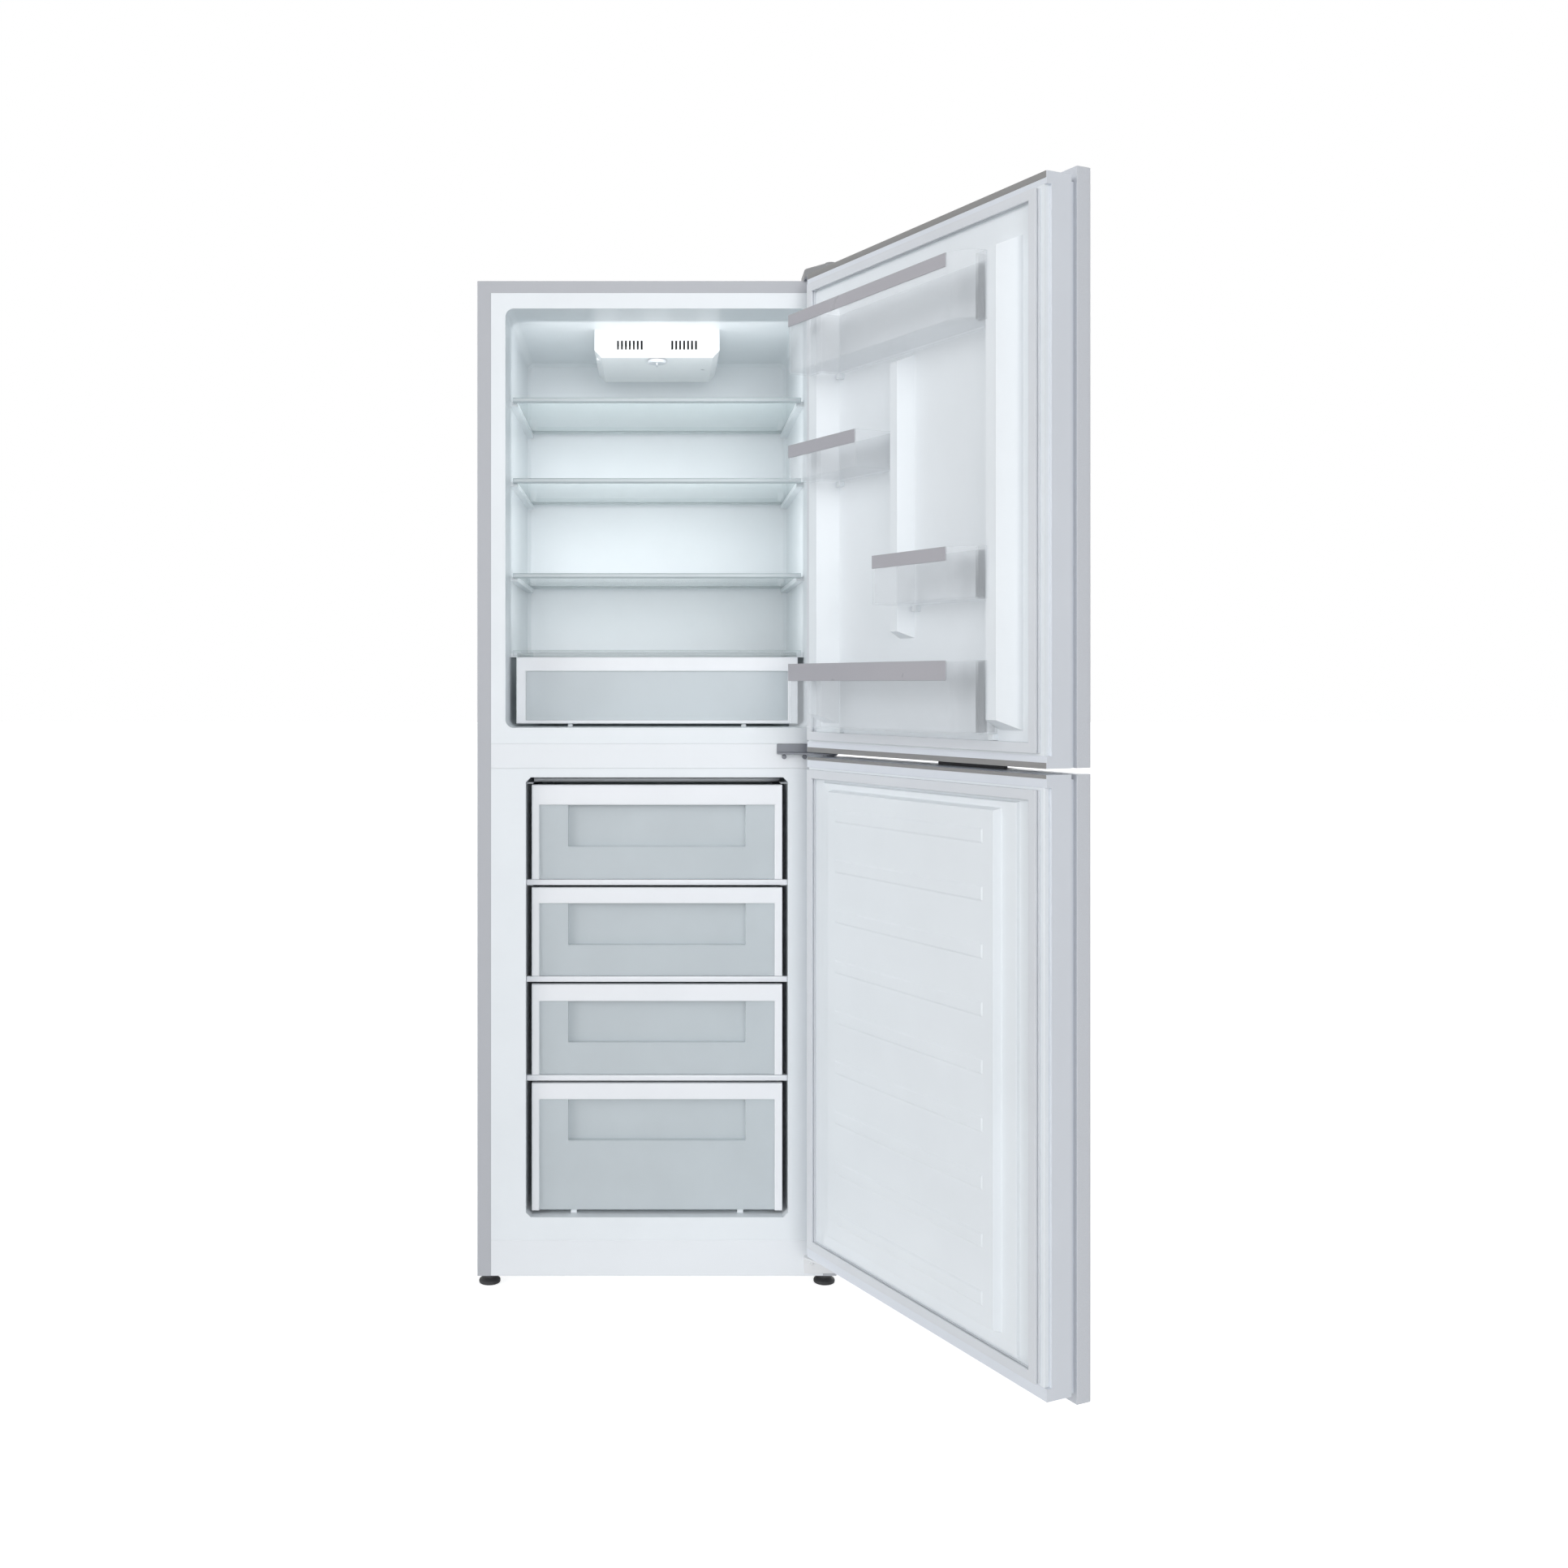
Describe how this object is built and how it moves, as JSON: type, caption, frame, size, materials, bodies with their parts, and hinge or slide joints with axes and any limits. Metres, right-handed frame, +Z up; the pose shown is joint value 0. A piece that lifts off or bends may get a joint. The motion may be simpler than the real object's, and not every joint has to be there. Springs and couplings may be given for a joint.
{
  "type": "bottom freezer refrigerator",
  "caption": "Tall free-standing refrigerator with a drawer freezer below, shown with both right-hinged doors open, glass shelves, a crisper and lift-out door balconies.",
  "frame": {"origin": "on the floor, under the middle of the front left foot", "axes": "+X to the right seen from the front, +Y towards the back, +Z up"},
  "size_m": [0.876, 1.1312, 1.696],
  "materials": {
    "steel_shell": "satin silver-grey paint",
    "back_sheet": "plain galvanised sheet",
    "foam": "rigid foam",
    "liner_white": "thermoformed satin plastic",
    "rail_white": "satin white paint",
    "base_steel": "galvanised",
    "compressor_black": "semi-gloss black paint",
    "coil_black": "matt black paint",
    "copper_pipe": "drawn copper",
    "tray_black": "moulded",
    "hinge_grey": "dark grey paint",
    "hinge_white": "white paint",
    "cover_grey": "moulded grey",
    "housing_white": "moulded white",
    "bulb_glass": "frosted glass",
    "coil_white": "white coating",
    "dial_grey": "moulded",
    "foot_black": "moulded",
    "roller_grey": "moulded",
    "shelf_glass": "tempered glass",
    "trim_white": "moulded white",
    "clear_plastic": "clear moulding",
    "handle_white": "moulded white",
    "band_grey": "moulded pale grey",
    "door_steel": "satin silver-grey paint",
    "door_plastic": "moulded grey",
    "gasket_grey": "soft magnetic seal",
    "grip_dark": "moulded dark grey"
  },
  "bodies": {
    "cabinet": {"cabinet_shell": "steel_shell", "back_panel": "back_sheet", "cabinet_insulation": "foam", "fridge_liner": "liner_white", "freezer_liner": "liner_white", "centre_crossrail": "rail_white", "kick_plate": "rail_white", "base_frame": "base_steel", "compressor": "compressor_black", "condenser": "coil_black", "refrigerant_pipes": "copper_pipe", "evaporating_tray": "tray_black", "top_hinge": "hinge_grey", "top_hinge_cover": "cover_grey", "middle_hinge": "hinge_grey", "bottom_hinge": "hinge_white", "lamp_housing": "housing_white", "lamp_bulb": "bulb_glass", "freezer_evaporator": "coil_white"},
    "upper_door": {"upper_door_panel": "door_steel", "upper_door_frame": "door_plastic", "upper_door_insulation": "foam", "upper_door_liner": "liner_white", "upper_door_gasket": "gasket_grey"},
    "lower_door": {"lower_door_panel": "door_steel", "lower_door_frame": "door_plastic", "lower_door_insulation": "foam", "lower_door_liner": "liner_white", "lower_door_gasket": "gasket_grey", "lower_door_grip": "grip_dark"},
    "balcony_1": {"balcony_1_bin": "clear_plastic", "balcony_1_band": "band_grey"},
    "balcony_2": {"balcony_2_bin": "clear_plastic", "balcony_2_band": "band_grey"},
    "balcony_3": {"balcony_3_bin": "clear_plastic", "balcony_3_band": "band_grey"},
    "balcony_4": {"balcony_4_bin": "clear_plastic", "balcony_4_band": "band_grey"},
    "shelf_1": {"shelf_1_glass": "shelf_glass", "shelf_1_trim": "trim_white"},
    "shelf_2": {"shelf_2_glass": "shelf_glass", "shelf_2_trim": "trim_white"},
    "shelf_3": {"shelf_3_glass": "shelf_glass", "shelf_3_trim": "trim_white"},
    "crisper": {"crisper_bin": "clear_plastic", "crisper_handle": "handle_white"},
    "cover_of_crisper": {"crisper_cover": "shelf_glass"},
    "freezer_drawer_1": {"freezer_drawer_1_bin": "clear_plastic", "freezer_drawer_1_handle": "handle_white"},
    "freezer_drawer_2": {"freezer_drawer_2_bin": "clear_plastic", "freezer_drawer_2_handle": "handle_white"},
    "freezer_drawer_3": {"freezer_drawer_3_bin": "clear_plastic", "freezer_drawer_3_handle": "handle_white"},
    "freezer_drawer_4": {"freezer_drawer_4_bin": "clear_plastic", "freezer_drawer_4_handle": "handle_white"},
    "dial": {"thermostat_dial": "dial_grey"},
    "foot_left": {"front_foot_left": "foot_black"},
    "roller_left": {"rear_roller_left": "roller_grey"},
    "foot_right": {"front_foot_right": "foot_black"},
    "roller_right": {"rear_roller_right": "roller_grey"}
  },
  "joints": [
    {"name": "upper_door_hinge", "type": "hinge", "parent": "cabinet", "child": "upper_door", "pos_m": [0.566, -0.065, 0.894], "axis": [0, 0, 1], "range_deg": [-116, 4]},
    {"name": "lower_door_hinge", "type": "hinge", "parent": "cabinet", "child": "lower_door", "pos_m": [0.566, -0.065, 0.066], "axis": [0, 0, 1], "range_deg": [-116, 4]},
    {"name": "balcony_1_lift", "type": "slide", "parent": "upper_door", "child": "balcony_1", "axis": [0, 0, 1], "range_m": [0, 0.03]},
    {"name": "balcony_2_lift", "type": "slide", "parent": "upper_door", "child": "balcony_2", "axis": [0, 0, 1], "range_m": [0, 0.03]},
    {"name": "balcony_3_lift", "type": "slide", "parent": "upper_door", "child": "balcony_3", "axis": [0, 0, 1], "range_m": [0, 0.03]},
    {"name": "balcony_4_lift", "type": "slide", "parent": "upper_door", "child": "balcony_4", "axis": [0, 0, 1], "range_m": [0, 0.03]},
    {"name": "shelf_1_slide", "type": "slide", "parent": "cabinet", "child": "shelf_1", "axis": [0, -1, 0], "range_m": [0, 0.11]},
    {"name": "shelf_2_slide", "type": "slide", "parent": "cabinet", "child": "shelf_2", "axis": [0, -1, 0], "range_m": [0, 0.11]},
    {"name": "shelf_3_slide", "type": "slide", "parent": "cabinet", "child": "shelf_3", "axis": [0, -1, 0], "range_m": [0, 0.11]},
    {"name": "crisper_cover_slide", "type": "slide", "parent": "cabinet", "child": "cover_of_crisper", "axis": [0, -1, 0], "range_m": [0, 0.11]},
    {"name": "crisper_slide", "type": "slide", "parent": "cabinet", "child": "crisper", "axis": [0, -1, 0], "range_m": [0, 0.19]},
    {"name": "freezer_drawer_1_slide", "type": "slide", "parent": "cabinet", "child": "freezer_drawer_1", "axis": [0, -1, 0], "range_m": [0, 0.34]},
    {"name": "freezer_drawer_2_slide", "type": "slide", "parent": "cabinet", "child": "freezer_drawer_2", "axis": [0, -1, 0], "range_m": [0, 0.34]},
    {"name": "freezer_drawer_3_slide", "type": "slide", "parent": "cabinet", "child": "freezer_drawer_3", "axis": [0, -1, 0], "range_m": [0, 0.34]},
    {"name": "freezer_drawer_4_slide", "type": "slide", "parent": "cabinet", "child": "freezer_drawer_4", "axis": [0, -1, 0], "range_m": [0, 0.2]},
    {"name": "thermostat_dial_turn", "type": "hinge", "parent": "cabinet", "child": "dial", "pos_m": [0.281, 0.161, 1.583], "axis": [0, 0, 1], "range_deg": [0, 300]},
    {"name": "foot_left_turn", "type": "hinge", "parent": "cabinet", "child": "foot_left", "pos_m": [0, 0, 0.01], "axis": [0, 0, 1], "continuous": true},
    {"name": "roller_left_spin", "type": "hinge", "parent": "cabinet", "child": "roller_left", "pos_m": [0.011, 0.475, 0.015], "axis": [1, 0, 0], "continuous": true},
    {"name": "foot_right_turn", "type": "hinge", "parent": "cabinet", "child": "foot_right", "pos_m": [0.562, 0, 0.01], "axis": [0, 0, 1], "continuous": true},
    {"name": "roller_right_spin", "type": "hinge", "parent": "cabinet", "child": "roller_right", "pos_m": [0.551, 0.475, 0.015], "axis": [1, 0, 0], "continuous": true}
  ]
}
